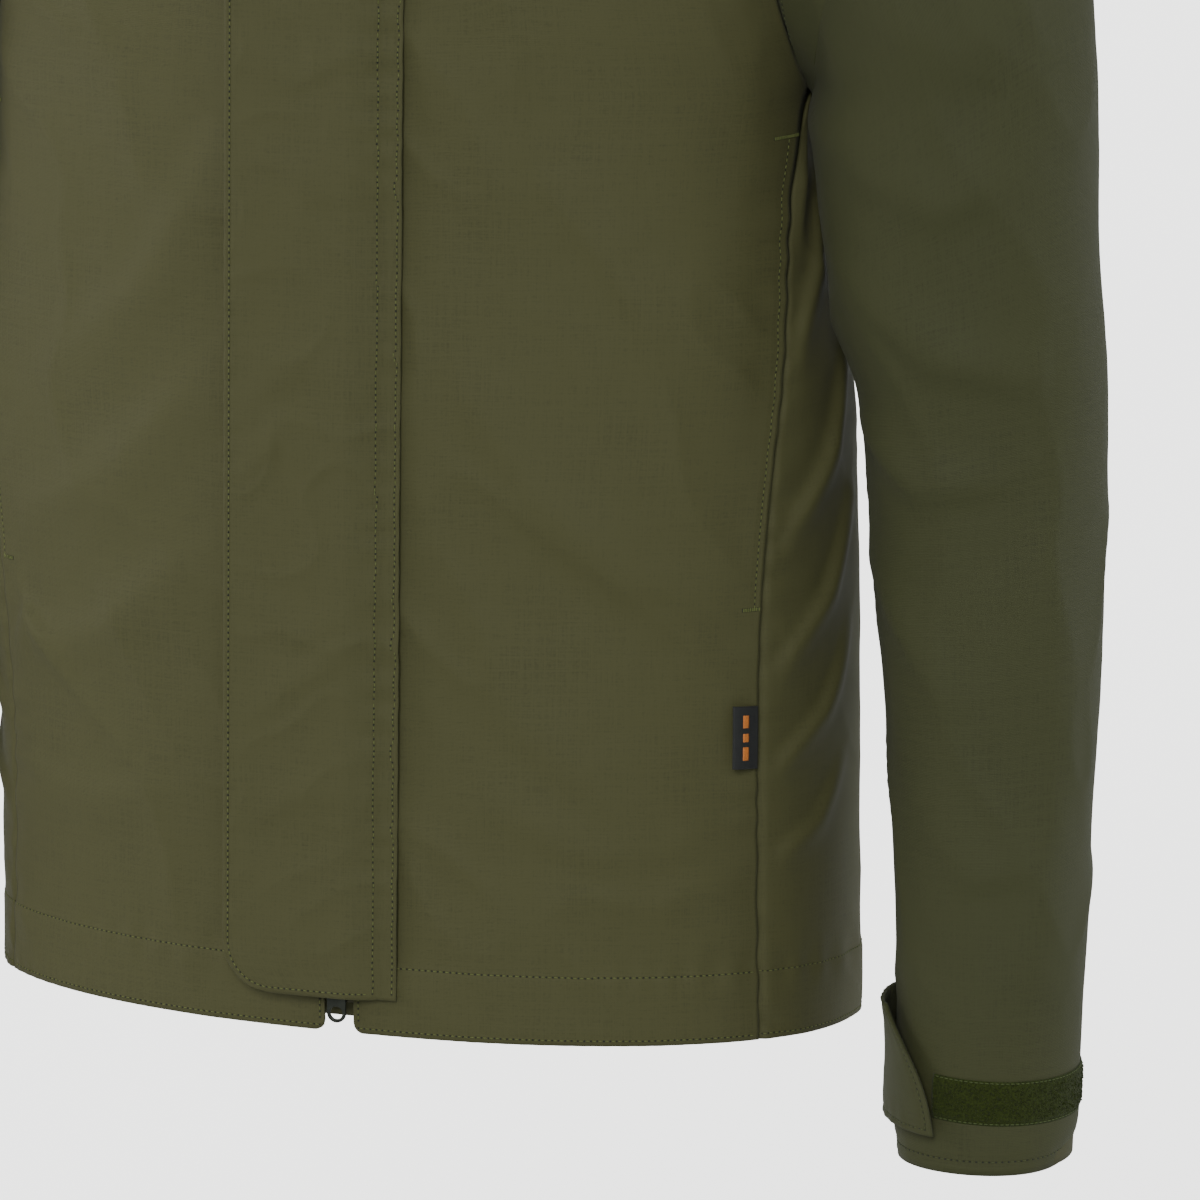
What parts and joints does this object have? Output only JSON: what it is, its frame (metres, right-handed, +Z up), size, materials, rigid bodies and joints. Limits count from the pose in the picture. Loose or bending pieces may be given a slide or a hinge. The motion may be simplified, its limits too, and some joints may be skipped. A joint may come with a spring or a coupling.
{
  "type": "beekeeping jacket",
  "caption": "Waterproof shell jacket with a storm flap over a two-way zip, in-seam side pockets, a cord in the hem, and cuffs closed by hook-and-loop tabs.",
  "frame": {"origin": "the underside of the hanger loop's arch inside the back of the neck, where a hook or peg bears", "axes": "+Z up, -Y the jacket's front, +X the wearer's left"},
  "size_m": [0.6878, 0.2504, 0.8119],
  "materials": {
    "shell_cloth": "matte coated plain weave",
    "lining_cloth": "smooth plain weave",
    "pocket_mesh": "knitted mesh",
    "zip_tape": "twill tape",
    "zip_teeth": "moulded, satin",
    "zip_metal": "dark gunmetal",
    "loop_tape": "fuzzy loop pile",
    "hook_tape": "stiff hook pile",
    "cord_lock": "moulded, matt",
    "drawcord": "braided elastic cord",
    "ribbon": "woven ribbon",
    "label": "woven damask"
  },
  "bodies": {
    "jacket": {"back_panel": "shell_cloth", "back_yoke": "shell_cloth", "collar_lining": "lining_cloth", "collar_outer": "shell_cloth", "cord_lock_body_left": "cord_lock", "cord_lock_body_right": "cord_lock", "cuff_facing_left": "shell_cloth", "cuff_facing_right": "shell_cloth", "flap_seam_band": "shell_cloth", "front_facing_left": "shell_cloth", "front_facing_right": "shell_cloth", "front_loop_patch_1": "loop_tape", "front_loop_patch_2": "loop_tape", "front_loop_patch_3": "loop_tape", "front_panel_left": "shell_cloth", "front_panel_right": "shell_cloth", "hanger_loop": "ribbon", "hem_drawcord": "drawcord", "hem_facing": "shell_cloth", "lining_back": "lining_cloth", "lining_front_left": "lining_cloth", "lining_front_right": "lining_cloth", "lining_side_left": "lining_cloth", "lining_side_right": "lining_cloth", "loop_tape_left": "loop_tape", "loop_tape_right": "loop_tape", "neck_label": "label", "pocket_bag_left": "pocket_mesh", "pocket_bag_right": "pocket_mesh", "side_label": "label", "side_panel_left": "shell_cloth", "side_panel_right": "shell_cloth", "sleeve_left": "shell_cloth", "sleeve_lining_left": "lining_cloth", "sleeve_lining_right": "lining_cloth", "sleeve_right": "shell_cloth", "wind_guard": "shell_cloth", "zip_pin_left": "zip_metal", "zip_pin_right": "zip_metal", "zip_stop_left": "zip_metal", "zip_stop_right": "zip_metal", "zip_tape_left": "zip_tape", "zip_tape_right": "zip_tape", "zip_teeth_left": "zip_teeth", "zip_teeth_right": "zip_teeth"},
    "flap": {"storm_flap": "shell_cloth", "flap_hook_patch_1": "hook_tape", "flap_hook_patch_2": "hook_tape", "flap_hook_patch_3": "hook_tape"},
    "top_slider": {"zip_slider_top": "zip_metal"},
    "top_puller": {"zip_puller_top": "zip_metal"},
    "bottom_slider": {"zip_slider_bottom": "zip_metal"},
    "bottom_puller": {"zip_puller_bottom": "zip_metal"},
    "tab_left": {"cuff_tab_left": "shell_cloth", "cuff_tab_hook_left": "hook_tape"},
    "tab_right": {"cuff_tab_right": "shell_cloth", "cuff_tab_hook_right": "hook_tape"},
    "lock_button_left": {"cord_lock_button_left": "cord_lock"},
    "lock_button_right": {"cord_lock_button_right": "cord_lock"}
  },
  "joints": [
    {"name": "flap_stitch_line", "type": "hinge", "parent": "jacket", "child": "flap", "pos_m": [0.0208, -0.16237, -0.3854], "axis": [0, 0.04, 0.9992], "range_deg": [0, 165]},
    {"name": "top_slider_travel", "type": "slide", "parent": "jacket", "child": "top_slider", "axis": [0, -0.04, -0.9992], "range_m": [0, 0.36]},
    {"name": "top_puller_swing", "type": "hinge", "parent": "top_slider", "child": "top_puller", "pos_m": [0, -0.14292, -0.03189], "axis": [-1, 0, 0], "range_deg": [0, 150]},
    {"name": "bottom_slider_travel", "type": "slide", "parent": "jacket", "child": "bottom_slider", "axis": [0, 0.04, 0.9992], "range_m": [0, 0.25]},
    {"name": "bottom_puller_swing", "type": "hinge", "parent": "bottom_slider", "child": "bottom_puller", "pos_m": [0, -0.16906, -0.68537], "axis": [-1, 0, 0], "range_deg": [0, 12]},
    {"name": "cuff_tab_left_peel", "type": "hinge", "parent": "jacket", "child": "tab_left", "pos_m": [0.2587, -0.07746, -0.7462], "axis": [0.023, -0.1315, -0.991], "range_deg": [0, 60]},
    {"name": "cuff_tab_right_peel", "type": "hinge", "parent": "jacket", "child": "tab_right", "pos_m": [-0.2587, -0.07746, -0.7462], "axis": [0.023, 0.1315, 0.991], "range_deg": [0, 60]},
    {"name": "lock_press_left", "type": "slide", "parent": "jacket", "child": "lock_button_left", "axis": [0, 0, -1], "range_m": [0, 0.0035], "stiffness_N_per_m": 600, "springref_m": -0.002},
    {"name": "lock_press_right", "type": "slide", "parent": "jacket", "child": "lock_button_right", "axis": [0, 0, -1], "range_m": [0, 0.0035], "stiffness_N_per_m": 600, "springref_m": -0.002}
  ]
}
